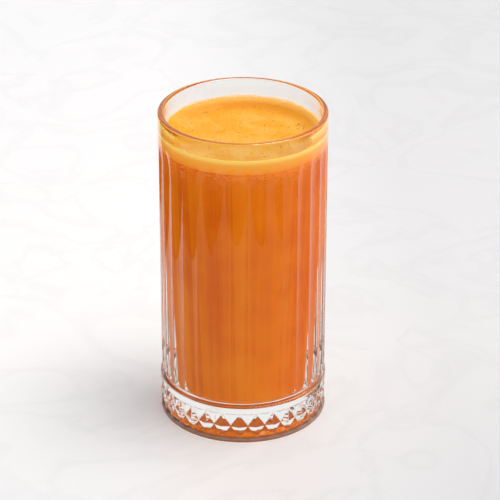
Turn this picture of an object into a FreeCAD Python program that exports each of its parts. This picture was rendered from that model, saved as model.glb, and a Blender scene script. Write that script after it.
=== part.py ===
import FreeCAD, Part
import math
import os
import Sketcher

# A tall straight highball glass of carrot juice under a head of froth. The pressed glass
# has thirty upright panels, each hollowed a little, a groove above its foot ring and a
# belt of cut diamonds, one under each panel. Units are millimetres, +Z is up, and the origin is the middle of
# the circle on which the glass stands.

doc = FreeCAD.newDocument("CarrotJuice")

# name of the cell, value, what it sets
SIZES = [
    ("glassHeight", 150.0, "table to the top of the rim"),
    ("bodyRadius", 38.0, "outside radius of the body before the panels are cut"),
    ("rimWall", 2.6, "thickness of the wall at the rim"),
    ("rimFlat", 0.3, "what is left flat on the rim between its two roundings"),
    ("cavityFloor", 12.5, "table to the floor of the cavity"),
    ("bodyWall", 4.2, "thickness of the wall where the lip's taper ends"),
    ("footWall", 12.5, "thickness of the wall at the floor of the cavity"),
    ("lipDepth", 12.0, "rim down to where the lip's taper ends"),
    ("cavityCorner", 5.0, "rounding between wall and floor inside"),
    ("ringProud", 0.45, "how far the foot ring stands out from the body"),
    ("ledgeHeight", 19.0, "table to the top of the foot ring"),
    ("ledgeRound", 0.7, "rounding of the foot ring's upper edge"),
    ("footRound", 1.7, "rounding of the foot ring's lower edge"),
    ("grooveDepth", 1.7, "depth of the groove over the foot ring, from the body"),
    ("grooveWidth", 2.2, "height of the groove"),
    ("grooveRound", 0.95, "rounding in the two inner corners of the groove"),
    ("shoulderRise", 0.9, "height of the slope from the groove out to the body"),
    ("puntRadius", 30.0, "radius of the shallow hollow under the foot, at the table"),
    ("puntDepth", 1.4, "depth of the shallow hollow under the foot"),
    ("puntSlope", 3.0, "width of the slope round the hollow"),
    ("panelCount", 30, "upright panels, and diamonds in the belt"),
    ("panelHollow", 13.0, "radius of the hollow across a panel"),
    ("ridgeSink", 0.04, "how far the ridges between panels lie inside the body's radius"),
    ("plainRim", 22.0, "rim down to where the panels start to run out"),
    ("panelRunout", 60.0, "radius of the cut that lifts out at the top of a panel"),
    ("cutterReach", 1.5, "how far the cutters reach outside what they cut"),
    ("beltBottom", 2.3, "table to the lower edge of the diamond belt"),
    ("plainBand", 3.7, "top of the foot ring down to the diamond belt"),
    ("beltDepth", 0.95, "depth of the cuts where they cross"),
    ("tipSink", 0.06, "how far the tips of the diamonds lie inside the ring"),
    ("frothDrop", 8.8, "rim down to where the froth meets the wall"),
    ("frothClimb", 2.8, "how far the froth climbs the wall"),
    ("frothMargin", 3.2, "width of the band in which the froth climbs"),
    ("frothRound", 6.0, "rounding where the froth starts to climb"),
    ("frothDepth", 4.0, "thickness of the level froth"),
]

# sizes that follow from the ones above
DERIVED = [
    ("ringRadius", "=bodyRadius + ringProud"),
    ("rimRound", "=(rimWall - rimFlat) / 2"),
    ("cavityTopRadius", "=bodyRadius - rimWall"),
    ("cavityFootRadius", "=bodyRadius - footWall"),
    ("lipRadius", "=bodyRadius - bodyWall"),
    ("lipBottom", "=glassHeight - lipDepth"),
    ("lipSlope", "=(cavityTopRadius - lipRadius) / lipDepth"),
    ("cavitySlope", "=(lipRadius - cavityFootRadius) / (lipBottom - cavityFloor)"),
    ("grooveRadius", "=bodyRadius - grooveDepth"),
    ("grooveMiddle", "=ledgeHeight + grooveWidth / 2"),
    ("grooveTop", "=ledgeHeight + grooveWidth"),
    ("grooveLipRadius", "=grooveRadius + grooveWidth / 2"),
    ("grooveFillet", "=min(grooveRound; 0.45 * grooveWidth)"),
    ("shoulderTop", "=grooveTop + shoulderRise"),
    ("puntFloorRadius", "=puntRadius - puntSlope"),
    ("ridgeRadius", "=bodyRadius - ridgeSink"),
    ("ridgeAcross", "=ridgeRadius * sin(180 deg / panelCount)"),
    ("ridgeAhead", "=ridgeRadius * cos(180 deg / panelCount)"),
    ("panelAxis", "=ridgeAhead + sqrt(panelHollow ^ 2 - ridgeAcross ^ 2)"),
    ("panelApothem", "=panelAxis - panelHollow"),
    ("panelCutRadius", "=bodyRadius + cutterReach"),
    ("panelTop", "=glassHeight - plainRim"),
    ("beltTop", "=ledgeHeight - plainBand"),
    ("frothEdge", "=glassHeight - frothDrop"),
    ("frothTop", "=frothEdge - frothClimb"),
    ("juiceTop", "=frothTop - frothDepth"),
    ("juiceTopRadius", "=cavityFootRadius + cavitySlope * (juiceTop - cavityFloor)"),
    ("frothEdgeRadius", "=lipRadius + lipSlope * (frothEdge - lipBottom)"),
    ("frothLevelRadius", "=frothEdgeRadius - frothMargin"),
]


def makeSheet():
    sheet = doc.addObject("Spreadsheet::Sheet", "Sizes")
    for row, (alias, value, note) in enumerate(SIZES, start=1):
        sheet.set("A%d" % row, note)
        sheet.set("B%d" % row, str(value))
        sheet.setAlias("B%d" % row, alias)
    for row, (alias, formula) in enumerate(DERIVED, start=len(SIZES) + 1):
        sheet.set("B%d" % row, formula)
        sheet.setAlias("B%d" % row, alias)
        doc.recompute()
    return sheet


def size(alias):
    return float(sheet.get(alias))


def originPart(body, role):
    return next(part for part in body.Origin.OriginFeatures if part.Role == role)


def holdPoint(sketch, line, end, across, up):
    # a corner lies on an axis where its cell is None, else at the cell's distance from it
    for kind, axis, alias in (("DistanceX", -2, across), ("DistanceY", -1, up)):
        if alias is None:
            sketch.addConstraint(Sketcher.Constraint("PointOnObject", line, end, axis))
            continue
        rule = sketch.addConstraint(
            Sketcher.Constraint(kind, -1, 1, line, end, size(alias)))
        sketch.setExpression("Constraints[%d]" % rule, "Sizes." + alias)


def addOutline(body, name, corners):
    # closed outline of straight lines in the body's XZ plane, a pair of cells a corner
    sketch = body.newObject("Sketcher::SketchObject", name)
    sketch.AttachmentSupport = [(originPart(body, "XZ_Plane"), "")]
    sketch.MapMode = "FlatFace"
    points = [
        FreeCAD.Vector(size(x) if x else 0, size(z) if z else 0, 0) for x, z in corners]
    count = len(points)
    for start in range(count):
        sketch.addGeometry(
            Part.LineSegment(points[start], points[(start + 1) % count]))
    for start in range(count):
        sketch.addConstraint(
            Sketcher.Constraint("Coincident", start, 2, (start + 1) % count, 1))
    for start, (across, up) in enumerate(corners):
        holdPoint(sketch, start, 1, across, up)
    return sketch


def addTurned(body, name, sketch):
    turned = body.newObject("PartDesign::Revolution", name)
    turned.Profile = sketch
    turned.ReferenceAxis = (sketch, ["V_Axis"])
    turned.Angle = 360
    doc.recompute()
    return turned


def circleEdges(shape, places):
    # names of the round edges that lie at the given (radius, height) places
    names = []
    for radius, height in places:
        for number, edge in enumerate(shape.Edges, start=1):
            curve = edge.Curve
            if not isinstance(curve, Part.Circle):
                continue
            off = abs(curve.Radius - radius) + abs(curve.Center.z - height)
            if off < 1e-4:
                names.append("Edge%d" % number)
    return names


def addRound(body, name, base, places, radiusCell):
    edges = circleEdges(base.Shape, [(size(r), size(z) if z else 0) for r, z in places])
    if len(edges) != len(places):
        raise RuntimeError(name + ": an edge to be rounded wasn't found")
    rounded = body.newObject("PartDesign::Fillet", name)
    rounded.Base = (base, edges)
    rounded.setExpression("Radius", "Sizes." + radiusCell)
    doc.recompute()
    return rounded


def buildBlank():
    # the pressed glass before its panels: foot, groove, straight body and tapered cavity
    body = doc.addObject("PartDesign::Body", "GlassBlank")
    outline = addOutline(body, "GlassOutline", [
        (None, "puntDepth"),
        ("puntFloorRadius", "puntDepth"),
        ("puntRadius", None),
        ("ringRadius", None),
        ("ringRadius", "ledgeHeight"),
        ("grooveRadius", "ledgeHeight"),
        ("grooveRadius", "grooveTop"),
        ("grooveLipRadius", "grooveTop"),
        ("bodyRadius", "shoulderTop"),
        ("bodyRadius", "glassHeight"),
        ("cavityTopRadius", "glassHeight"),
        ("lipRadius", "lipBottom"),
        ("cavityFootRadius", "cavityFloor"),
        (None, "cavityFloor"),
    ])
    blank = addTurned(body, "GlassTurned", outline)
    blank = addRound(body, "FootRounding", blank, [("ringRadius", None)], "footRound")
    blank = addRound(body, "LedgeRounding", blank,
                     [("ringRadius", "ledgeHeight")], "ledgeRound")
    blank = addRound(body, "GrooveRounding", blank,
                     [("grooveRadius", "ledgeHeight"), ("grooveRadius", "grooveTop")],
                     "grooveFillet")
    blank = addRound(body, "RimRounding", blank,
                     [("bodyRadius", "glassHeight"), ("cavityTopRadius", "glassHeight")],
                     "rimRound")
    blank = addRound(body, "CavityRounding", blank,
                     [("cavityFootRadius", "cavityFloor")], "cavityCorner")
    return body, blank


def panelSketch(body):
    # side view of one panel's cut: straight up the body, then lifting out on a large
    # radius. It turns about an upright line outside the glass, which hollows the panel.
    sketch = body.newObject("Sketcher::SketchObject", "PanelOutline")
    sketch.AttachmentSupport = [(originPart(body, "XZ_Plane"), "")]
    sketch.MapMode = "FlatFace"
    inner, outer = size("panelApothem"), size("panelCutRadius")
    low, high, lift = size("grooveMiddle"), size("panelTop"), size("panelRunout")
    turn = math.acos((lift - outer + inner) / lift)
    end = high + lift * math.sin(turn)
    corners = [FreeCAD.Vector(x, z, 0) for x, z in (
        (inner, high), (inner, low), (outer, low), (outer, end))]
    for start in range(3):
        sketch.addGeometry(Part.LineSegment(corners[start], corners[start + 1]))
    centre = FreeCAD.Vector(inner + lift, high, 0)
    circle = Part.Circle(centre, FreeCAD.Vector(0, 0, 1), lift)
    sketch.addGeometry(Part.ArcOfCircle(circle, math.pi - turn, math.pi))
    for first in range(3):
        sketch.addConstraint(Sketcher.Constraint("Coincident", first, 2, first + 1, 1))
    holdPoint(sketch, 0, 1, "panelApothem", "panelTop")
    holdPoint(sketch, 1, 1, "panelApothem", "grooveMiddle")
    holdPoint(sketch, 2, 1, "panelCutRadius", "grooveMiddle")
    sketch.addConstraint(Sketcher.Constraint("Vertical", 2))
    # the arc meets the upright smoothly, which also closes the outline
    sketch.addConstraint(Sketcher.Constraint("Tangent", 3, 2, 0, 1))
    rule = sketch.addConstraint(Sketcher.Constraint("Radius", 3, lift))
    sketch.setExpression("Constraints[%d]" % rule, "Sizes.panelRunout")
    axis = size("panelAxis")
    sketch.addGeometry(Part.LineSegment(
        FreeCAD.Vector(axis, 0, 0), FreeCAD.Vector(axis, size("glassHeight"), 0)), True)
    holdPoint(sketch, 4, 1, "panelAxis", None)
    holdPoint(sketch, 4, 2, "panelAxis", "glassHeight")
    return sketch


def cutPanels(body, blank):
    before = blank.Shape.Volume
    outline = panelSketch(body)
    panel = body.newObject("PartDesign::Groove", "Panel")
    panel.Profile = outline
    panel.ReferenceAxis = (outline, ["Axis0"])
    panel.Angle = 360
    doc.recompute()
    if panel.Shape.Volume >= before:
        raise RuntimeError("the panel's cut misses the glass")
    panels = body.newObject("PartDesign::PolarPattern", "Panels")
    panels.Originals = [panel]
    panels.Axis = (originPart(body, "Z_Axis"), [""])
    panels.Angle = 360
    panels.setExpression("Occurrences", "Sizes.panelCount")
    body.Tip = panels
    doc.recompute()
    return panels


def ringOf(radii, height, count):
    step = 2 * math.pi / count
    return [FreeCAD.Vector(radii[i % len(radii)] * math.cos(i * step),
                           radii[i % len(radii)] * math.sin(i * step), height)
            for i in range(count)]


def flatFace(*points):
    return Part.Face(Part.makePolygon(list(points) + [points[0]]))


def beltCutter():
    # Ring of glass to take away round the foot. Its inner side is the faceted surface:
    # cuts cross at the middle height between the panels and at both edges under the
    # panels' middles, and the tips of the diamonds stand between the crossings.
    tip = size("ringRadius") - size("tipSink")
    crossing = size("ringRadius") - size("beltDepth")
    outer = size("ringRadius") + size("cutterReach")
    low, high = size("beltBottom"), size("beltTop")
    count = 2 * int(size("panelCount"))
    bottom = ringOf([crossing, tip], low, count)
    middle = ringOf([tip, crossing], (low + high) / 2, count)
    top = ringOf([crossing, tip], high, count)
    outerBottom = ringOf([outer], low, count)
    outerTop = ringOf([outer], high, count)
    faces = []
    for i in range(count):
        after = (i + 1) % count
        before = i - 1
        if i % 2 == 0:
            # one diamond: four facets round its tip
            for crown in (top, bottom):
                faces.append(flatFace(middle[i], middle[before], crown[i]))
                faces.append(flatFace(middle[i], middle[after], crown[i]))
        else:
            # the half diamonds above and below a crossing: two facets each
            for crown in (top, bottom):
                faces.append(flatFace(crown[i], middle[i], crown[before]))
                faces.append(flatFace(crown[i], middle[i], crown[after]))
        faces.append(flatFace(top[i], top[after], outerTop[after], outerTop[i]))
        faces.append(flatFace(bottom[i], bottom[after], outerBottom[after], outerBottom[i]))
        faces.append(flatFace(outerBottom[i], outerBottom[after], outerTop[after], outerTop[i]))
    shell = Part.makeShell(faces)
    shell.sewShape()
    solid = Part.makeSolid(shell)
    if solid.Volume < 0:
        solid.reverse()
    cutter = doc.addObject("Part::Feature", "BeltCutter")
    cutter.Shape = solid
    cutter.Placement = FreeCAD.Placement()
    return cutter


def buildGlass():
    body, blank = buildBlank()
    cutPanels(body, blank)
    glass = doc.addObject("Part::Cut", "Glass")
    glass.Base = body
    glass.Tool = beltCutter()
    glass.Label = "glass"
    glass.Placement = FreeCAD.Placement()
    return glass


def buildJuice():
    # the drink, from the floor of the cavity up to the froth
    body = doc.addObject("PartDesign::Body", "Juice")
    body.Label = "juice"
    outline = addOutline(body, "JuiceOutline", [
        (None, "cavityFloor"),
        ("cavityFootRadius", "cavityFloor"),
        ("juiceTopRadius", "juiceTop"),
        (None, "juiceTop"),
    ])
    juice = addTurned(body, "JuiceTurned", outline)
    addRound(body, "JuiceRounding", juice,
             [("cavityFootRadius", "cavityFloor")], "cavityCorner")
    body.Placement = FreeCAD.Placement()
    return body


def buildFroth():
    # the head on the drink: level in the middle, climbing a little at the wall
    body = doc.addObject("PartDesign::Body", "Froth")
    body.Label = "foam"
    outline = addOutline(body, "FrothOutline", [
        (None, "juiceTop"),
        ("juiceTopRadius", "juiceTop"),
        ("lipRadius", "lipBottom"),
        ("frothEdgeRadius", "frothEdge"),
        ("frothLevelRadius", "frothTop"),
        (None, "frothTop"),
    ])
    froth = addTurned(body, "FrothTurned", outline)
    addRound(body, "FrothRounding", froth, [("frothLevelRadius", "frothTop")], "frothRound")
    body.Placement = FreeCAD.Placement()
    return body


def checkDocument(pieces):
    for item in doc.Objects:
        if "Invalid" in item.State or "Error" in item.State:
            raise RuntimeError("%s failed: %s" % (item.Label, item.State))
    for piece in pieces:
        shape = piece.Shape
        if shape.isNull() or not shape.isValid() or len(shape.Solids) != 1:
            raise RuntimeError(piece.Label + " isn't one valid solid")


def writePieces(pieces):
    os.makedirs("parts", exist_ok=True)
    for piece in pieces:
        piece.Shape.exportStep(os.path.join("parts", piece.Label + ".step"))
        litres = piece.Shape.Volume / 1e6
        print("%-6s %.4f litres, %d faces" % (piece.Label, litres, len(piece.Shape.Faces)))


sheet = makeSheet()
pieces = [buildGlass(), buildJuice(), buildFroth()]
doc.recompute()
checkDocument(pieces)
writePieces(pieces)
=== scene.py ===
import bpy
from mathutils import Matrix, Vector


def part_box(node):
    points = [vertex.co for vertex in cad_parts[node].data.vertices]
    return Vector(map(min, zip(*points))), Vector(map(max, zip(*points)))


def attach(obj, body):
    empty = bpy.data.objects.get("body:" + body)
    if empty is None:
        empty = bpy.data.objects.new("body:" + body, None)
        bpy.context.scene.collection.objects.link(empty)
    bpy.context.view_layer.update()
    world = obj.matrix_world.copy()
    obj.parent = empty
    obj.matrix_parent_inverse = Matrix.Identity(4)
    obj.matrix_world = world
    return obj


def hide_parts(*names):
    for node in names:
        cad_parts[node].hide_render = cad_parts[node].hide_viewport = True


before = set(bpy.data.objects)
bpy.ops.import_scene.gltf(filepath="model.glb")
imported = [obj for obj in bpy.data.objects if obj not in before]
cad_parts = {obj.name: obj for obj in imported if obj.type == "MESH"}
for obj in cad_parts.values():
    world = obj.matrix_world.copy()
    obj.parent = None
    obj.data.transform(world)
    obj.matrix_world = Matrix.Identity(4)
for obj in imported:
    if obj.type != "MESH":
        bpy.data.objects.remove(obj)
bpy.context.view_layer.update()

import math
import bpy
import numpy as np
from mathutils import Vector

mm = 0.001
tau = 2 * math.pi


# colours, nodes and meshes

def linear(hexColour):
    # sRGB hex to the linear numbers that the shaders take
    parts = [int(hexColour[i:i + 2], 16) / 255 for i in (1, 3, 5)]
    return [c / 12.92 if c <= 0.04045 else ((c + 0.055) / 1.055) ** 2.4 for c in parts]


def node(tree, kind, settings=(), **inputs):
    # one node with its settings; inputs are values or (node, output) pairs, named by socket
    made = tree.nodes.new("ShaderNode" + kind)
    for name, value in dict(settings).items():
        setattr(made, name, value)
    for name, value in inputs.items():
        key = int(name[1:]) if name[0] == "i" and name[1:].isdigit() else name.replace("_", " ")
        socket = made.inputs[key]
        if isinstance(value, tuple) and hasattr(value[0], "outputs"):
            tree.links.new(value[0].outputs[value[1]], socket)
        elif isinstance(value, str):
            socket.default_value = (*linear(value), 1)
        else:
            socket.default_value = value
    return made


def mirrorRay(tree):
    # 1 for what is seen by reflection, 0 for what is seen directly or through glass
    path = node(tree, "LightPath")
    straight = node(tree, "Math", {"operation": "SUBTRACT"}, i0=1.0,
                    i1=(path, "Is Transmission Ray"))
    return node(tree, "Math", {"operation": "MULTIPLY"}, i0=(path, "Is Glossy Ray"),
                i1=(straight, 0))


def newMaterial(name):
    # empty material, and its node tree
    material = bpy.data.materials.new(name)
    material.use_nodes = True
    material.node_tree.nodes.clear()
    return material, material.node_tree


def ramp(tree, fac, stops):
    # colour ramp with (position, hex) stops
    made = node(tree, "ValToRGB", Fac=fac)
    elements = made.color_ramp.elements
    while len(elements) < len(stops):
        elements.new(0.5)
    for element, (position, colour) in zip(elements, stops):
        element.position = position
        element.color = (*linear(colour), 1)
    return made


def patternScale(size):
    # scale of a noise or cell pattern whose grains are about the given millimetres across
    return 1 / (size * mm)


def makePiece(name, vertices, faces, material, smooth=True):
    # vertices in millimetres, faces as arrays of vertex numbers (all of one length each)
    mesh = bpy.data.meshes.new(name)
    points = np.asarray(vertices, dtype=np.float64) * mm
    groups = [np.asarray(group, dtype=np.int32) for group in faces]
    loops = np.concatenate([group.ravel() for group in groups])
    totals = np.concatenate([np.full(len(group), group.shape[1]) for group in groups])
    starts = np.concatenate([[0], np.cumsum(totals)[:-1]])
    mesh.vertices.add(len(points))
    mesh.vertices.foreach_set("co", points.astype(np.float32).ravel())
    mesh.loops.add(len(loops))
    mesh.loops.foreach_set("vertex_index", loops)
    mesh.polygons.add(len(totals))
    mesh.polygons.foreach_set("loop_start", starts.astype(np.int32))
    mesh.polygons.foreach_set("loop_total", totals.astype(np.int32))
    mesh.polygons.foreach_set("use_smooth", np.full(len(totals), smooth))
    mesh.update(calc_edges=True)
    mesh.validate()
    mesh.materials.append(material)
    piece = bpy.data.objects.new(name, mesh)
    bpy.context.collection.objects.link(piece)
    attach(piece, "root")
    return piece


def ringGrid(rows, slants=()):
    # closed rings of points joined into a skin; each row is an (n, 3) array, and a row of
    # one point is a pole. Rows of half as many points are joined three triangles to a pair.
    # slants gives, for a row's number, which of its squares are split from low left to
    # high right, the others being split the other way.
    starts = np.cumsum([0] + [len(row) for row in rows])
    slants = dict(slants)
    triangles, quads = [], []
    for k in range(len(rows) - 1):
        a, b = starts[k], starts[k + 1]
        na, nb = len(rows[k]), len(rows[k + 1])
        if na == 1:
            j = np.arange(nb)
            triangles.append(np.stack([a + 0 * j, b + (j + 1) % nb, b + j], 1))
        elif nb == 1:
            i = np.arange(na)
            triangles.append(np.stack([a + i, a + (i + 1) % na, b + 0 * i], 1))
        elif na == nb:
            i = np.arange(na)
            after = (i + 1) % na
            corners = np.stack([a + i, a + after, b + after, b + i], 1)
            if k not in slants:
                quads.append(corners)
                continue
            for split, order in ((slants[k], (0, 1, 2, 0, 2, 3)), (~slants[k], (0, 1, 3, 1, 2, 3))):
                triangles.append(corners[split][:, order].reshape(-1, 3))
        else:
            i = np.arange(min(na, nb))
            after = (i + 1) % len(i)
            wide, narrow = (a, b) if na > nb else (b, a)
            double = 2 * i
            fan = [np.stack([wide + double, wide + double + 1, narrow + i], 1),
                   np.stack([wide + double + 1, narrow + after, narrow + i], 1),
                   np.stack([wide + double + 1, wide + (double + 2) % (2 * len(i)),
                             narrow + after], 1)]
            if na < nb:
                fan = [part[:, ::-1] for part in fan]
            triangles += fan
    groups = [np.concatenate(part) for part in (triangles, quads) if part]
    return np.concatenate(rows), groups


def arc(radius, height, size, start, end, steps):
    # points of an arc in the (radius, height) plane, angles in degrees from outward
    turn = np.radians(np.linspace(start, end, steps + 1))
    return np.stack([radius + size * np.cos(turn), height + size * np.sin(turn)], 1)


def ring(radius, height, angles):
    # points on a level circle: radius and height may differ from angle to angle
    radius = np.broadcast_to(radius, angles.shape)
    height = np.broadcast_to(height, angles.shape)
    return np.stack([radius * np.cos(angles), radius * np.sin(angles), height], 1)


def softAbs(value, width):
    # size of a value without its sign, with the corner at zero rounded over the given width
    return np.sqrt(value * value + width * width) - width


def softMin(a, b, width):
    # the lower of two surfaces, with their crossing rounded over the given width
    mix = np.clip(width - np.abs(a - b), 0, None) / width
    return np.minimum(a, b) - mix * mix * width / 4


def softMax(a, b, width):
    # the upper of two surfaces, rounded in the same way
    return -softMin(-a, -b, width)


# the glass, sizes in millimetres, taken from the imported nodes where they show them

glassBox, juiceBox, frothBox = (np.array(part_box(n)) / mm for n in ("glass", "juice", "foam"))
ringProud = 0.45  # how far the foot ring stands out from the body
glass = {
    "height": glassBox[1][2],
    "ringRadius": glassBox[1][0],
    "bodyRadius": glassBox[1][0] - ringProud,
    "rimWall": 2.6,
    "rimRound": 1.15,
    "bodyWall": 4.2,  # where the lip's taper ends
    "footWall": 16.5,
    "lipDepth": 12.0,
    "lipRound": 40.0,
    "floor": juiceBox[0][2],
    "corner": 5.0,
    "ledge": 19.0,
    "ledgeRound": 0.7,
    "footRound": 1.7,
    "grooveDepth": 1.7,
    "grooveWidth": 2.2,
    "grooveRound": 0.95,
    "shoulderRise": 0.9,
    "punt": (30.0, 1.4, 3.0),  # radius, depth and slope of the hollow under the foot
    "panels": 30,
    "panelHollow": 13.0,
    "ridgeSink": 0.04,
    "plainRim": 22.0,
    "runout": 60.0,
    "ridgeSoftness": 0.05,
    "panelSoftness": 0.03,  # where a panel meets the body and the shoulder
    "belt": (2.3, 15.3),  # lower and upper edge
    "beltSteps": 28,  # squares over the belt's height and across a diamond
    "beltDepth": 0.95,
    "beltSoftness": 0.06,
    "beltEdges": (0.002, 0.05),  # rounding of the upright edges in radians, of the level ones in mm
    "tipSink": 0.06,
    "waviness": 0.012,
    "mouldGrain": 11.111,
    "mouldDepth": 0.12,
    "colour": "#f2f4f3",
    "shadowColour": "#f6f6f4",
}


def cavity(reach=0.0):
    # inside of the glass as (radius, height) from the middle of the floor up to the rim:
    # a level floor, a rounding, a wall that leans out a little, and above a soft bend the
    # lip, which thins towards the rim
    bend = glass["height"] - glass["lipDepth"]
    top = glass["bodyRadius"] - glass["rimWall"]
    middle = glass["bodyRadius"] - glass["bodyWall"]
    foot = glass["bodyRadius"] - glass["footWall"]
    slope = (middle - foot) / (bend - glass["floor"])
    lipSlope = (top - middle) / glass["lipDepth"]
    lean = math.hypot(1, slope)
    size = glass["corner"] + reach
    floor = glass["floor"] - reach
    centre = foot + slope * glass["corner"] - glass["corner"] * lean
    corner = arc(centre, floor + size, size, -90, -math.degrees(math.atan(slope)), 12)
    half = glass["lipRound"] * (math.atan(lipSlope) - math.atan(slope)) / 2

    def radiusAt(height):
        # the bend is the parabola that joins the two slopes over the rounding's length
        off = height - bend
        across = np.clip(off + half, 0, 2 * half)
        extra = np.where(off > half, off, across * across / (4 * half))
        return middle + slope * off + (lipSlope - slope) * extra + reach * lean

    return corner, radiusAt


def panelAngles(share):
    # angles round the glass: crowded at the ridges between panels, even where share is 0
    half = 180 / glass["panels"]
    crowded = np.array([0, 0.22, 0.45, 0.8, 1.6, 3.0, 4.5, 6.0]) * half / 6
    crowded = np.concatenate([crowded, 2 * half - crowded[-2:0:-1]])
    even = np.linspace(0, 2 * half, len(crowded), endpoint=False)
    step = share * crowded + (1 - share) * even
    panels = np.arange(glass["panels"])[:, None] * 2 * half + half
    return np.radians((panels + step[None]).ravel())


def beltAngles():
    # even angles round the glass, with a point on every tip and on every crossing cut
    half = 180 / glass["panels"]
    step = np.linspace(0, 2 * half, glass["beltSteps"], endpoint=False)
    panels = np.arange(glass["panels"])[:, None] * 2 * half + half
    return np.radians((panels + step[None]).ravel())


def offPanel(angles):
    # angle from the middle of the nearest panel
    pitch = tau / glass["panels"]
    return (angles + pitch / 2) % pitch - pitch / 2


def facet(corners, turn, height):
    # radius at which the plane through three corners is met at a turn and a height
    a, b, c = (np.array(p) for p in corners)
    normal = np.cross(b - a, c - a)
    return (normal @ a - normal[2] * height) / (
        normal[0] * np.cos(turn) + normal[1] * np.sin(turn))


def beltRadius(angles, height):
    # diamond cut: planes from each tip down to the cuts that cross between the tips, and
    # the rising planes of the half diamonds beside them, joined where they meet
    low, high = glass["belt"]
    half = math.pi / glass["panels"]
    reach = (high - low) / 2
    tip = glass["ringRadius"] - glass["tipSink"]
    cross = glass["ringRadius"] - glass["beltDepth"]
    upright, level = glass["beltEdges"]
    turn = softAbs(offPanel(angles), upright)
    up = softAbs(np.asarray(height - (low + high) / 2), level)
    side = (cross * math.cos(half), cross * math.sin(half), 0)
    crown = (cross, 0, reach)
    diamond = facet([(tip, 0, 0), side, crown], turn, up)
    halfTip = (tip * math.cos(half), tip * math.sin(half), reach)
    beside = facet([halfTip, side, crown], turn, up)
    return softMax(diamond, beside, glass["beltSoftness"])


def panelRadius(angles, height):
    # a panel is hollowed by an upright cylinder outside the glass. Above the panels' top
    # the cylinder narrows along the run-out's circle until it leaves the body.
    pitch = tau / glass["panels"]
    ridge = glass["bodyRadius"] - glass["ridgeSink"]
    across, ahead = ridge * math.sin(pitch / 2), ridge * math.cos(pitch / 2)
    axis = ahead + math.sqrt(glass["panelHollow"] ** 2 - across ** 2)
    start = glass["height"] - glass["plainRim"]
    rise = np.clip(height - start, 0, glass["runout"] * 0.25)
    size = glass["panelHollow"] - glass["runout"] + np.sqrt(glass["runout"] ** 2 - rise ** 2)
    turn = np.abs(offPanel(angles))
    near, beside = (
        axis * np.cos(t) - np.sqrt(np.maximum(size ** 2 - (axis * np.sin(t)) ** 2, 0.01))
        for t in (turn, pitch - turn))
    return softMin(near, beside, glass["ridgeSoftness"])


def waves(angles, height):
    # slow unevenness that pressed glass keeps from its mould
    return glass["waviness"] * (
        np.sin(3 * angles + height * 0.11) + np.sin(5 * angles - height * 0.07 + 1.3)
        + 0.7 * np.sin(height * 0.23 + 2 * angles))


def footRows():
    # from the middle of the hollow under the foot out over its slope to the standing ring,
    # and up the foot's rounding
    g = glass
    even = panelAngles(0)
    radius, depth, slope = g["punt"]
    under = [(6, depth), (14, depth), (22, depth), (radius - slope - 0.6, depth),
             (radius - slope, depth - 0.12), (radius - slope + 0.6, depth - 0.4),
             (radius - 0.6, 0.26), (radius, 0.05), (radius + 0.8, 0), (radius + 3, 0)]
    turn = arc(g["ringRadius"] - g["footRound"], g["footRound"], g["footRound"], -90, 0, 8)
    return [np.array([[0, 0, depth]])] + [ring(r, z, even) for r, z in under + list(turn)]


def beltRows(first):
    # the belt between two narrow plain edges. Its squares are split along the cuts: in the
    # lower half they lean one way on one side of a diamond's tip, in the upper half the other
    g = glass
    low, high = g["belt"]
    steps, foot, fine = g["beltSteps"], g["ringRadius"], beltAngles()
    rows = [ring(foot, low - 0.32, fine), ring(foot - 0.02, low - 0.25, fine)]
    column = np.arange(len(fine)) % steps < steps // 2
    slants = {first + 2 + step: column if step >= steps // 2 else ~column for step in range(steps)}
    rows += [ring(beltRadius(fine, z), z, fine) for z in np.linspace(low, high, steps + 1)]
    rows += [ring(foot - 0.02, high + 0.25, fine), ring(foot, high + 0.32, fine)]
    rows += [ring(foot, high + up, panelAngles(share))
             for share, up in ((0, 0.8), (0.5, 1.6), (1, 2.4))]
    return rows, slants


def grooveRows(angles):
    # the ledge's rounding, then the groove with its two rounded inner corners
    g = glass
    groove = g["bodyRadius"] - g["grooveDepth"] + g["grooveRound"]
    size, lip = g["grooveRound"], g["ledge"] + g["grooveWidth"]
    edge = arc(g["ringRadius"] - g["ledgeRound"], g["ledge"] - g["ledgeRound"],
               g["ledgeRound"], 0, 90, 6)
    profile = [edge, arc(groove, g["ledge"] + size, size, -90, -180, 6),
               arc(groove, lip - size, size, 180, 90, 6), np.array([(groove + 0.2, lip + 0.03)])]
    return [ring(r, z, angles) for r, z in np.concatenate(profile)]


def bodyRows(angles):
    # shoulder and body, each cut back to the panels, with the mould's waves fading in
    g = glass
    lip = g["ledge"] + g["grooveWidth"]
    start = g["height"] - g["plainRim"]
    shoulder = [(-0.5, 0.12), (-0.36, 0.3), (-0.22, 0.5), (-0.1, 0.75), (-0.03, 1.0), (0, 1.4)]
    # rows stand closer where the panels run out
    heights = [24.5, 28, 40, 60, 80, 100, 118, start]
    heights += list(np.linspace(start, start + 11, 34)[1:]) + [start + 13, start + 16, start + 19]
    outline = [(g["bodyRadius"] + off, lip + g["shoulderRise"] * up) for off, up in shoulder]
    outline += [(g["bodyRadius"], z) for z in heights]
    rows = []
    for r, z in outline:
        edge = softMin(np.full(len(angles), r), panelRadius(angles, z), g["panelSoftness"])
        rows.append(ring(edge + waves(angles, z) * min(1, (z - lip) / 6), z, angles))
    return rows


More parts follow.
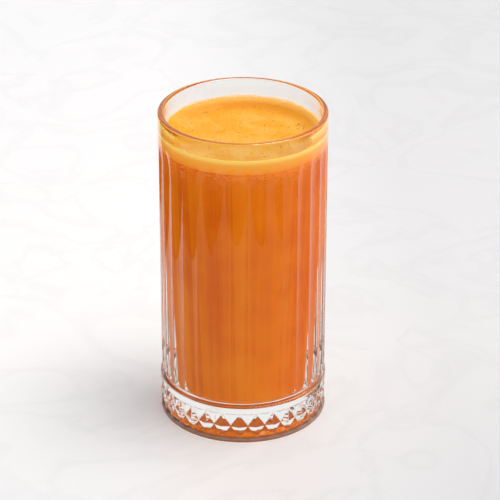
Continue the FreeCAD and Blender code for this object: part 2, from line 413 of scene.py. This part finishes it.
def insideRows(angles):
    # over the rounded rim and down the cavity to the middle of its floor
    g = glass
    size = g["rimRound"]
    inner = g["bodyRadius"] - g["rimWall"]
    rim = [arc(g["bodyRadius"] - size, g["height"] - size, size, 0, 90, 8),
           arc(inner + size, g["height"] - size, size, 90, 180, 8)]
    rows = [ring(r, z, angles) for r, z in np.concatenate(rim)]
    corner, radiusAt = cavity()
    # rows stand closer round the bend under the lip
    down = [147, 145, 143, 141, 140, 139, 138, 137, 136, 134, 128, 118, 100, 80, 60, 40, 28]
    rows += [ring(radiusAt(z), z, angles) for z in down]
    rows += [ring(r, z, angles) for r, z in corner[::-1]]
    rows += [ring(r, g["floor"], angles) for r in (17, 10, 4)]
    return rows + [np.array([[0, 0, g["floor"]]])]


def buildGlass(material):
    # one closed skin: outline turned about the upright axis, with radius a function of angle
    # and height on the belt and the panels
    crowded = panelAngles(1)
    rows = footRows()
    belt, slants = beltRows(len(rows))
    rows += belt + grooveRows(crowded) + bodyRows(crowded) + insideRows(crowded)
    vertices, faces = ringGrid(rows, slants)
    piece = makePiece("glassBody", vertices, faces, material)
    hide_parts("glass")
    print("glass built,", len(vertices), "points")


def glassMaterial():
    # clear soda-lime glass: bends and mirrors the table, with a faint mould unevenness.
    # Lamps pass it as through a slightly grey pane, so the drink and table stay lit.
    material, tree = newMaterial("pressedGlass")
    where = node(tree, "TexCoord")
    unevenness = node(tree, "TexNoise", Vector=(where, "Object"), Detail=2.0,
                      Scale=patternScale(glass["mouldGrain"]))
    bump = node(tree, "Bump", Height=(unevenness, 0), Strength=0.12,
                Distance=glass["mouldDepth"] * mm)
    shader = node(tree, "BsdfPrincipled", Base_Color=glass["colour"], Roughness=0.0, IOR=1.52,
                  Normal=(bump, 0))
    shader.inputs["Transmission Weight"].default_value = 1.0
    clear = node(tree, "BsdfTransparent", Color=glass["shadowColour"])
    path = node(tree, "LightPath")
    mix = node(tree, "MixShader", Fac=(path, "Is Shadow Ray"), i1=(shader, 0), i2=(clear, 0))
    node(tree, "OutputMaterial", Surface=(mix, 0))
    return material


# the juice

juice = {
    "reach": 0.07,  # how far it stands in the glass wall
    "colour": "#fc8a12",
    "deepColour": "#e05a08",
    # painted light: an upright stripe for each hollow panel, and a highlight line at each ridge
    "panelLight": 0.55,
    "ridge": 0.15,
    # painted light that comes in through the foot, paler towards the floor
    "lift": 0.22,  # paler towards the floor
    "liftBand": (70.0, 20.0),  # heights between which it grows
    "pulpColour": "#fb9440",
    "pulpDepth": 13.0,
    "pulpGrain": 1.111,
    "cloudGrain": 16.667,
    "speckGrain": 0.6667,
    "bounceColour": "#c6b2a4",
    "bounce": 0.7,
    "throughColour": "#ffb48c",
    "through": 0.55,
    "glow": 0.21,
    "scatter": 0.3,
    "scatterRadius": (2.6, 1.0, 0.25),
}


def buildJuice(material):
    # the cavity's outline turned about the upright axis up to the froth's underside
    corner, radiusAt = cavity(juice["reach"])
    top = juiceBox[1][2] - 0.02
    angles = np.linspace(0, tau, 240, endpoint=False)
    floor = corner[0][1]
    rows = [np.array([[0, 0, floor]])]
    rows += [ring(r, floor, angles) for r in (6, 13, 18)]
    rows += [ring(r, z, angles) for r, z in corner]
    rows += [ring(radiusAt(z), z, angles) for z in np.linspace(20, top, 44)]
    rows += [ring(r, top, angles) for r in (26, 13)]
    rows.append(np.array([[0, 0, top]]))
    vertices, faces = ringGrid(rows)
    piece = makePiece("juiceBody", vertices, faces, material)
    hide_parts("juice")
    print("juice built,", len(vertices), "points")


def juiceTone(tree, where, place):
    # number that picks the shade: fine pulp and slow clouds are the juice's own tone; the rest
    # is painted light: one share for each panel of the glass, streaks across the panels, a
    # painted highlight line at the ridges, and painted light that grows towards the foot
    pulp = node(tree, "TexNoise", Vector=(where, "Object"), Detail=3.0,
                Scale=patternScale(juice["pulpGrain"]))
    cloud = node(tree, "TexNoise", Vector=(where, "Object"), Detail=2.0,
                 Scale=patternScale(juice["cloudGrain"]))
    grain = node(tree, "Math", {"operation": "MULTIPLY_ADD"}, i0=(pulp, 0), i1=0.3, i2=(cloud, 0))
    turn = node(tree, "Math", {"operation": "ARCTAN2"}, i0=(place, "Y"), i1=(place, "X"))
    panel = node(tree, "Math", {"operation": "MULTIPLY"}, i0=(turn, 0), i1=glass["panels"] / tau)
    number = node(tree, "Math", {"operation": "ROUND"}, i0=(panel, 0))
    # painted light: one share of light for each panel of the glass
    share = node(tree, "TexWhiteNoise", {"noise_dimensions": "1D"}, W=(number, 0))
    withShare = node(tree, "Math", {"operation": "MULTIPLY_ADD"}, i0=(share, 0),
                     i1=juice["panelLight"], i2=(grain, 0))
    # painted light: streaks across the panels
    lightStreak = node(tree, "TexNoise", {"noise_dimensions": "1D"}, W=(panel, 0), Scale=1.2, Detail=1.0)
    withLightStreak = node(tree, "Math", {"operation": "MULTIPLY_ADD"}, i0=(lightStreak, 0),
                      i1=juice["panelLight"], i2=(withShare, 0))
    off = node(tree, "Math", {"operation": "SUBTRACT"}, i0=(panel, 0), i1=(number, 0))
    far = node(tree, "Math", {"operation": "ABSOLUTE"}, i0=(off, 0))
    # painted highlight: a lighter line at each ridge
    ridge = node(tree, "MapRange", Value=(far, 0), i1=0.4, i2=0.5, i4=juice["ridge"])
    withRidgeHighlight = node(tree, "Math", {"operation": "ADD"}, i0=(withLightStreak, 0), i1=(ridge, 0))
    start, full = juice["liftBand"]
    # painted light from the foot, growing towards the floor
    foot = node(tree, "MapRange", Value=(place, "Z"), i1=start * mm, i2=full * mm,
                i4=juice["lift"])
    lifted = node(tree, "Math", {"operation": "ADD"}, i0=(withRidgeHighlight, 0), i1=(foot, 0))
    return node(tree, "Math", {"operation": "MULTIPLY"}, i0=(lifted, 0), i1=0.6)


def juiceMaterial():
    # cloudy carrot juice: a strong even orange with a little painted glow. Tone is two orange
    # shades mixed by juiceTone, which also paints the light that each hollow panel gathers in
    # an upright stripe, a highlight line at each ridge and light towards the floor. Pale pulp
    # hangs under the froth and thins out downward.
    # Light that the juice throws on its surroundings is paler, and part of the lamp's light
    # passes it, tinted.
    material, tree = newMaterial("carrotJuice")
    where = node(tree, "TexCoord")
    place = node(tree, "SeparateXYZ", Vector=(where, "Object"))
    body = ramp(tree, (juiceTone(tree, where, place), 0),
                [(0.35, juice["deepColour"]), (1.0, juice["colour"])])
    top = juiceBox[1][2]
    near = node(tree, "MapRange", Value=(place, "Z"), i1=(top - juice["pulpDepth"]) * mm,
                i2=top * mm)
    specks = node(tree, "TexNoise", Vector=(where, "Object"), Detail=1.0,
                  Scale=patternScale(juice["speckGrain"]))
    speck = node(tree, "MapRange", Value=(specks, 0), i1=0.45, i2=0.7)
    paler = node(tree, "Math", {"operation": "MULTIPLY"}, i0=(near, 0), i1=(speck, 0))
    pulpy = node(tree, "MixRGB", Fac=(paler, 0), Color1=(body, 0), Color2=juice["pulpColour"])
    path = node(tree, "LightPath")
    bounced = node(tree, "MapRange", Value=(path, "Diffuse Depth"), i1=0.0, i2=1.0,
                   i4=juice["bounce"])
    seen = node(tree, "MixRGB", Fac=(bounced, 0), Color1=(pulpy, 0), Color2=juice["bounceColour"])
    # painted glow: the juice gives off a little light of its own colour
    shader = node(tree, "BsdfPrincipled", Base_Color=(seen, 0), Roughness=0.3, IOR=1.13,
                  Emission_Color=(seen, 0), Emission_Strength=juice["glow"],
                  Subsurface_Weight=juice["scatter"], Subsurface_Scale=1.0,
                  Subsurface_Radius=[r * mm for r in juice["scatterRadius"]])
    through = node(tree, "BsdfTransparent", Color=juice["throughColour"])
    passed = node(tree, "Math", {"operation": "MULTIPLY"}, i0=(path, "Is Shadow Ray"),
                  i1=juice["through"])
    mix = node(tree, "MixShader", Fac=(passed, 0), i1=(shader, 0), i2=(through, 0))
    node(tree, "OutputMaterial", Surface=(mix, 0))
    return material


# the froth

froth = {
    "reach": 0.07,  # how far it stands in the glass wall
    "climb": 2.8,
    "margin": 7.5,  # width of the band in which it climbs the wall
    "swell": (0.12, 0.1),  # rise and fall round the glass, and outward from the middle
    "colour": "#f2a81e",
    "paleColour": "#fac45c",
    # the climb's colour is partly thinner froth showing the juice, partly painted shade
    "climbShadeColour": "#e4921a",
    "filmColour": "#ffca66",
    "lowColour": "#ff982c",
    "midColour": "#ffb244",
    "sideColour": "#ffd66e",
    "thinShadeBand": (12.0, 4.0),  # from the wall: where the climb's colour starts and is full
    # that side also carries the most painted shade
    "thinShadeWay": (0.55, 0.83, 0),  # the side on which it climbs thinnest
    "filmBand": (2.2, 0.3),  # the same for the film's colour
    "patchGrain": 9.091,
    "bubbleGrain": 0.3846,
    "bubbleDepth": 0.2,
    "glow": 0.32,
    "scatter": 0.35,
    "scatterRadius": (3.0, 1.4, 0.4),
}


def frothHeight(radius, angles):
    # level middle with a lazy swell, then a smooth climb to the wall
    edge = frothBox[1][2]
    level = edge - froth["climb"]
    rim = cavity()[1](edge)
    climb = np.clip((radius - rim + froth["margin"]) / froth["margin"], 0, 1)
    around, outward = froth["swell"]
    swell = around * np.sin(2 * angles + 0.6) * radius / rim + outward * np.cos(
        radius * 0.19 + np.cos(angles - 0.8))
    return level + froth["climb"] * climb ** 2.6 + swell * (1 - climb)


def buildFroth(material):
    # level underside, the cavity's wall up to the froth's edge, and frothHeight on top
    base, edge = juiceBox[1][2], frothBox[1][2]
    radiusAt = cavity(froth["reach"])[1]
    angles = np.linspace(0, tau, 360, endpoint=False)
    rows = [np.array([[0, 0, base]])]
    rows += [ring(r, base, angles) for r in (12, 24)]
    rows += [ring(radiusAt(z), z, angles) for z in np.linspace(base, edge, 16)]
    rim = radiusAt(edge)
    inward = np.concatenate([np.linspace(0.12, 8, 40), np.linspace(8.7, rim - 0.6, 36)])
    rows += [ring(r, frothHeight(r, angles), angles) for r in rim - inward]
    rows.append(np.array([[0, 0, float(frothHeight(0, 0.0))]]))
    vertices, faces = ringGrid(rows)
    piece = makePiece("frothBody", vertices, faces, material)
    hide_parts("foam")
    print("froth built,", len(vertices), "points")


def frothTop(tree, where):
    # colour from above: golden with paler patches. Towards the wall, most of all on the thin
    # side, it turns to the climb's brown gold, partly the thinner froth showing the juice and
    # partly painted shade on the climbing edge, and at the very wall to the film's pale one
    wall = float(cavity()[1](frothBox[1][2]))
    start, full = froth["thinShadeBand"]
    filmStart, filmFull = froth["filmBand"]
    patches = node(tree, "TexNoise", Vector=(where, "Object"), Detail=5.0,
                   Scale=patternScale(froth["patchGrain"]))
    patch = node(tree, "MapRange", Value=(patches, 0), i1=0.42, i2=0.68, i4=0.6)
    mottled = node(tree, "MixRGB", Fac=(patch, 0), Color1=froth["colour"],
                   Color2=froth["paleColour"])
    flat = node(tree, "VectorMath", {"operation": "MULTIPLY"}, i0=(where, "Object"), i1=(1, 1, 0))
    out = node(tree, "VectorMath", {"operation": "LENGTH"}, i0=(flat, 0))
    # painted shade and thinner froth near the wall, strongest on one side
    thinShade = node(tree, "MapRange", {"interpolation_type": "SMOOTHSTEP"}, Value=(out, "Value"),
                i1=(wall - start) * mm, i2=(wall - full) * mm)
    way = node(tree, "VectorMath", {"operation": "DOT_PRODUCT"}, i0=(flat, 0), i1=froth["thinShadeWay"])
    side = node(tree, "MapRange", Value=(way, "Value"), i1=-0.3 * wall * mm, i2=wall * mm)
    share = node(tree, "Math", {"operation": "MULTIPLY"}, i0=(thinShade, 0), i1=(side, 0))
    edge = node(tree, "MapRange", Value=(out, "Value"), i1=(wall - filmStart) * mm,
                i2=(wall - filmFull) * mm)
    climb = node(tree, "MixRGB", Fac=(edge, 0), Color1=froth["climbShadeColour"],
                 Color2=froth["filmColour"])
    return node(tree, "MixRGB", Fac=(share, 0), Color1=(mottled, 0), Color2=(climb, 0))


def frothMaterial():
    # head of fine bubbles: frothTop from above, and at the wall an orange band that brightens
    # upward and has a little painted glow, with a grain of bubbles finer than the modelled ones
    material, tree = newMaterial("juiceFroth")
    where = node(tree, "TexCoord")
    place = node(tree, "SeparateXYZ", Vector=(where, "Object"))
    rise = node(tree, "MapRange", Value=(place, "Z"), i1=frothBox[0][2] * mm,
                i2=frothBox[1][2] * mm)
    wallTone = ramp(tree, (rise, 0), [(0.1, froth["lowColour"]), (0.62, froth["midColour"]),
                                      (0.86, froth["sideColour"])])
    upward = node(tree, "NewGeometry")
    facing = node(tree, "SeparateXYZ", Vector=(upward, "True Normal"))
    atWall = node(tree, "MapRange", Value=(facing, "Z"), i1=0.2, i2=0.1)
    mixed = node(tree, "MixRGB", Fac=(atWall, 0), Color1=(frothTop(tree, where), 0),
                 Color2=(wallTone, 0))
    # painted glow at the wall
    glow = node(tree, "MixRGB", Fac=(atWall, 0), Color1="#000000", Color2=(wallTone, 0))
    grain = node(tree, "TexVoronoi", {"feature": "F1"}, Vector=(where, "Object"),
                 Scale=patternScale(froth["bubbleGrain"]))
    bump = node(tree, "Bump", Height=(grain, 0), Strength=0.5, Distance=froth["bubbleDepth"] * mm)
    shader = node(tree, "BsdfPrincipled", Base_Color=(mixed, 0), Roughness=0.5, IOR=1.33,
                  Normal=(bump, 0), Emission_Color=(glow, 0), Emission_Strength=froth["glow"],
                  Subsurface_Weight=froth["scatter"], Subsurface_Scale=1.0,
                  Subsurface_Radius=[r * mm for r in froth["scatterRadius"]])
    node(tree, "OutputMaterial", Surface=(shader, 0))
    return material


# bubbles, film and flecks

bubbles = {"count": 2600, "least": 0.12, "spread": 0.22, "largeShare": 0.04, "largeExtra": 0.35,
           "depth": 0.3, "seed": 5}
film = {"count": 6500, "towards": math.radians(75), "focus": 0.8, "height": 2.1, "bubble": 0.13,
        "colour": "#ffc65c", "clear": 0.4, "glow": 0.35, "scatter": 0.3,
        "scatterRadius": (1.0, 0.6, 0.3), "seed": 6}
flecks = {"count": 110, "size": 0.15, "within": 29, "colour": "#9c4e18", "darkColour": "#8a4514",
          "grain": 0.6667, "seed": 7}


def dome(rings, sides, depth):
    # unit ball from its top down to the given depth under its middle
    turns = np.linspace(0, tau, sides, endpoint=False)
    tilts = np.linspace(0, math.acos(-depth), rings + 1)[1:]
    rows = [np.array([[0, 0, 1.0]])]
    rows += [np.stack([np.sin(t) * np.cos(turns), np.sin(t) * np.sin(turns),
                       np.full(sides, math.cos(t))], 1) for t in tilts]
    if depth == 1:
        rows[-1] = np.array([[0, 0, -1.0]])
    else:
        rows.append(np.array([[0, 0, -depth]]))
    vertices, faces = ringGrid(rows[::-1])
    return vertices, faces


def scatter(shape, centres, sizes):
    # one mesh of many copies of a shape, each at its centre with its own size
    vertices, faces = shape
    count = len(centres)
    points = vertices[None] * sizes.reshape(count, 1, -1) + centres[:, None]
    shift = np.arange(count)[:, None, None] * len(vertices)
    groups = [(group[None] + shift).reshape(-1, group.shape[1]) for group in faces]
    return points.reshape(-1, 3), groups


def buildBubbles(material):
    # fine bubbles on the froth, crowded towards the wall, a few of them large
    b = bubbles
    random = np.random.default_rng(b["seed"])
    rim = cavity()[1](frothBox[1][2])
    radius = rim * np.sqrt(random.random(b["count"])) ** 0.9 - 0.3
    angles = random.random(b["count"]) * tau
    sizes = b["least"] + b["spread"] * random.random(b["count"]) ** 2
    large = random.random(b["count"]) < b["largeShare"]
    sizes[large] += b["largeExtra"] * random.random(large.sum())
    radius = np.clip(radius, 0, rim - sizes - 0.1)
    centres = ring(radius, frothHeight(radius, angles) - 0.25 * sizes, angles)
    vertices, faces = scatter(dome(3, 9, b["depth"]), centres, sizes[:, None])
    piece = makePiece("frothBubbles", vertices, faces, material)


def buildFilm(material):
    # film of small bubbles that clings to the wall over the froth, ragged at its top and
    # thickest at the back
    f = film
    random = np.random.default_rng(f["seed"])
    angles = random.vonmises(f["towards"], f["focus"], f["count"])
    reach = f["height"] * (0.55 + 0.25 * np.cos(angles - f["towards"]) + 0.12 * np.sin(9 * angles)
                           + 0.08 * np.sin(23 * angles + 1))
    up = reach * random.random(f["count"]) ** 1.5
    heights = frothBox[1][2] - 0.5 + up
    sizes = f["bubble"] * (0.5 + random.random(f["count"]))
    radius = cavity()[1](heights) - 0.35 * sizes
    centres = ring(radius, heights, angles)
    vertices, faces = scatter(dome(3, 8, 1), centres, sizes[:, None])
    piece = makePiece("frothFilm", vertices, faces, material)


def filmMaterial():
    # thin bubble film: pale orange with a faint painted glow, with the glass showing through it
    material, tree = newMaterial("bubbleFilm")
    shader = node(tree, "BsdfPrincipled", Base_Color=film["colour"], Roughness=0.35, IOR=1.33,
                  Emission_Color=film["colour"], Emission_Strength=film["glow"],
                  Subsurface_Weight=film["scatter"], Subsurface_Scale=1.0,
                  Subsurface_Radius=[r * mm for r in film["scatterRadius"]])
    clear = node(tree, "BsdfTransparent")
    mix = node(tree, "MixShader", Fac=film["clear"], i1=(shader, 0), i2=(clear, 0))
    node(tree, "OutputMaterial", Surface=(mix, 0))
    return material


def buildSpecks(material):
    # brown flecks of carrot skin on the froth
    random = np.random.default_rng(flecks["seed"])
    radius = flecks["within"] * np.sqrt(random.random(flecks["count"]))
    angles = random.random(flecks["count"]) * tau
    sizes = flecks["size"] * (0.5 + random.random(flecks["count"]))
    shapes = sizes[:, None] * np.stack([1 + random.random(flecks["count"]),
                                        0.7 + 0.5 * random.random(flecks["count"]),
                                        np.full(flecks["count"], 0.6)], 1)
    centres = ring(radius, frothHeight(radius, angles) + 0.05, angles)
    vertices, faces = scatter(dome(4, 9, 1), centres, shapes)
    piece = makePiece("skinFlecks", vertices, faces, material)


def fleckMaterial():
    # wet carrot skin: brown, uneven in tone, slightly shiny
    material, tree = newMaterial("carrotSkin")
    where = node(tree, "TexCoord")
    tone = node(tree, "TexNoise", Vector=(where, "Object"), Scale=patternScale(flecks["grain"]))
    shade = ramp(tree, (tone, 0), [(0.35, flecks["darkColour"]), (0.65, flecks["colour"])])
    shader = node(tree, "BsdfPrincipled", Base_Color=(shade, 0), Roughness=0.4)
    node(tree, "OutputMaterial", Surface=(shader, 0))
    return material


# table, light and camera

table = {
    "left": -200, "right": 900, "front": -235, "back": 1500,
    "colour": "#faf9f9",
    "veinColour": "#f6f5f5",
    "veinGrain": 71.43,
    # the first two of the next four are painted shade, darker to the right and to the front
    "asideShade": "#e9e9ea",  # the next four are multiplied in, each over its own band
    "asideShadeBand": (-30.0, 100.0),
    "nearerShade": "#f3f4f5",
    "nearerShadeBand": (50.0, -90.0),
    "underFoot": "#eaa078",
    "footBand": (38.0, 32.0),
    "mirrored": "#a8a8a8",
    "mirroredBand": (50.0, -30.0),
}


def band(tree, value, ends, **settings):
    # rises from 0 to 1 between two places given in millimetres
    return node(tree, "MapRange", settings, Value=value, i1=ends[0] * mm, i2=ends[1] * mm)


def tint(tree, share, under, colour):
    # a colour multiplied in by the given share
    return node(tree, "MixRGB", {"blend_type": "MULTIPLY"}, Fac=(share, 0), Color1=(under, 0),
                Color2=colour)


def tableMaterial():
    # white marble with faint grey veins, honed. Painted shade makes it a little darker to the
    # right and the front; it is painted warm under the foot, where the light that comes down
    # through the juice falls, and painted dimmer in front of the glass where the glass mirrors it
    material, tree = newMaterial("whiteMarble")
    where = node(tree, "TexCoord")
    veins = node(tree, "TexNoise", Vector=(where, "Object"), Detail=6.0, Distortion=1.5,
                 Scale=patternScale(table["veinGrain"]))
    vein = ramp(tree, (veins, 0), [(0.44, table["colour"]), (0.5, table["veinColour"]),
                                   (0.56, table["colour"])])
    place = node(tree, "SeparateXYZ", Vector=(where, "Object"))
    # painted shade: darker to the right and towards the front
    across = band(tree, (place, "X"), table["asideShadeBand"])
    along = band(tree, (place, "Y"), table["nearerShadeBand"])
    out = node(tree, "VectorMath", {"operation": "LENGTH"}, i0=(where, "Object"))
    under = band(tree, (out, "Value"), table["footBand"], interpolation_type="SMOOTHSTEP")
    before = band(tree, (place, "Y"), table["mirroredBand"])
    mirrored = node(tree, "Math", {"operation": "MULTIPLY"}, i0=(mirrorRay(tree), 0),
                    i1=(before, 0))
    marble = tint(tree, across, vein, table["asideShade"])
    marble = tint(tree, along, marble, table["nearerShade"])
    marble = tint(tree, under, marble, table["underFoot"])
    marble = tint(tree, mirrored, marble, table["mirrored"])
    shader = node(tree, "BsdfPrincipled", Base_Color=(marble, 0), Roughness=0.35)
    node(tree, "OutputMaterial", Surface=(shader, 0))
    return material


def buildTable():
    # one flat four-cornered face, with its front and left edges near the glass
    t = table
    points = [(t["left"], t["front"], 0), (t["right"], t["front"], 0),
              (t["right"], t["back"], 0), (t["left"], t["back"], 0)]
    mesh = bpy.data.meshes.new("tableTop")
    mesh.from_pydata([[c * mm for c in p] for p in points], [], [(0, 1, 2, 3)])
    mesh.materials.append(tableMaterial())
    top = bpy.data.objects.new("tableTop", mesh)
    bpy.context.collection.objects.link(top)


sky = {"colour": "#f6f8fc", "low": "#302c2a", "front": 0.3, "strength": 0.72, "rightward": 0.3}
key = {"azimuth": 84, "elevation": 71, "distance": 2200, "size": 1300, "power": 27.2,
       "colour": "#fffaf2", "aim": 70}


def direction(azimuth, elevation):
    # azimuth 0 is towards -Y and 90 towards +X
    a, e = math.radians(azimuth), math.radians(elevation)
    return Vector((math.sin(a) * math.cos(e), -math.cos(a) * math.cos(e), math.sin(e)))


def buildSky():
    # as mirrored by the glass: bright overhead and behind, dimmer in front, dark under the
    # table's height. As light: even, a little stronger from the right. Plain white where the
    # camera looks past the table, through the glass or not.
    world = bpy.data.worlds.new("sky")
    world.use_nodes = True
    tree = world.node_tree
    tree.nodes.clear()
    where = node(tree, "TexCoord")
    way = node(tree, "SeparateXYZ", Vector=(where, "Generated"))
    up = node(tree, "MapRange", Value=(way, "Z"), i1=-0.2, i2=0.25)
    back = node(tree, "MapRange", Value=(way, "Y"), i1=-0.8, i2=0.5, i3=sky["front"], i4=1.0)
    share = node(tree, "Math", {"operation": "MULTIPLY"}, i0=(up, 0), i1=(back, 0))
    shade = node(tree, "MixRGB", Fac=(share, 0), Color1=sky["low"], Color2=sky["colour"])
    mirrored = node(tree, "Background", Color=(shade, 0), Strength=sky["strength"])
    weak, strong = (sky["strength"] * (1 + s * sky["rightward"]) for s in (-1, 1))
    side = node(tree, "MapRange", Value=(way, "X"), i1=-1.0, i2=1.0, i3=weak, i4=strong)
    lit = node(tree, "Background", Color=sky["colour"], Strength=(side, 0))
    plain = node(tree, "Background", Color="#ffffff", Strength=1.0)
    path = node(tree, "LightPath")
    room = node(tree, "MixShader", Fac=(mirrorRay(tree), 0), i1=(lit, 0), i2=(mirrored, 0))
    direct = node(tree, "Math", {"operation": "LESS_THAN"}, i0=(path, "Diffuse Depth"), i1=0.5)
    through = node(tree, "Math", {"operation": "MULTIPLY"}, i0=(path, "Is Transmission Ray"),
                   i1=(direct, 0))
    seen = node(tree, "Math", {"operation": "MAXIMUM"}, i0=(path, "Is Camera Ray"), i1=(through, 0))
    mix = node(tree, "MixShader", Fac=(seen, 0), i1=(room, 0), i2=(plain, 0))
    node(tree, "OutputWorld", Surface=(mix, 0))
    bpy.context.scene.world = world


def buildKey():
    # round soft lamp from above right
    lamp = bpy.data.lights.new("key", "AREA")
    lamp.shape = "DISK"
    lamp.size = key["size"] * mm
    lamp.energy = key["power"]
    lamp.color = linear(key["colour"])
    lampObject = bpy.data.objects.new("key", lamp)
    towards = direction(key["azimuth"], key["elevation"])
    lampObject.location = (towards * key["distance"] + Vector((0, 0, key["aim"]))) * mm
    lampObject.rotation_mode = "QUATERNION"
    lampObject.rotation_quaternion = towards.to_track_quat("Z", "Y")
    bpy.context.collection.objects.link(lampObject)


cameraSet = {"azimuth": -3.4, "elevation": 27.2, "distance": 1117, "aim": 75, "lens": 175.7,
             "shift": (0.014, 0.0198)}


def buildCamera():
    # looks down at the glass from the front
    data = bpy.data.cameras.new("camera")
    data.lens = cameraSet["lens"]
    data.sensor_width = 36
    data.clip_start = 0.05
    data.shift_x, data.shift_y = cameraSet["shift"]
    camera = bpy.data.objects.new("camera", data)
    back = direction(cameraSet["azimuth"], cameraSet["elevation"])
    camera.location = (back * cameraSet["distance"] + Vector((0, 0, cameraSet["aim"]))) * mm
    camera.rotation_mode = "QUATERNION"
    camera.rotation_quaternion = (-back).to_track_quat("-Z", "Y")
    bpy.context.collection.objects.link(camera)
    bpy.context.scene.camera = camera


buildGlass(glassMaterial())
buildJuice(juiceMaterial())
frothLook = frothMaterial()
buildFroth(frothLook)
buildBubbles(frothLook)
buildFilm(filmMaterial())
buildSpecks(fleckMaterial())
print("bubbles, film and flecks built")
buildTable()
buildSky()
buildKey()
buildCamera()
print("table, light and camera built")
scene = bpy.context.scene
scene.view_settings.view_transform = "Standard"
scene.cycles.max_bounces = 16
scene.cycles.transmission_bounces = 16
scene.cycles.transparent_max_bounces = 16
scene.cycles.sample_clamp_indirect = 6
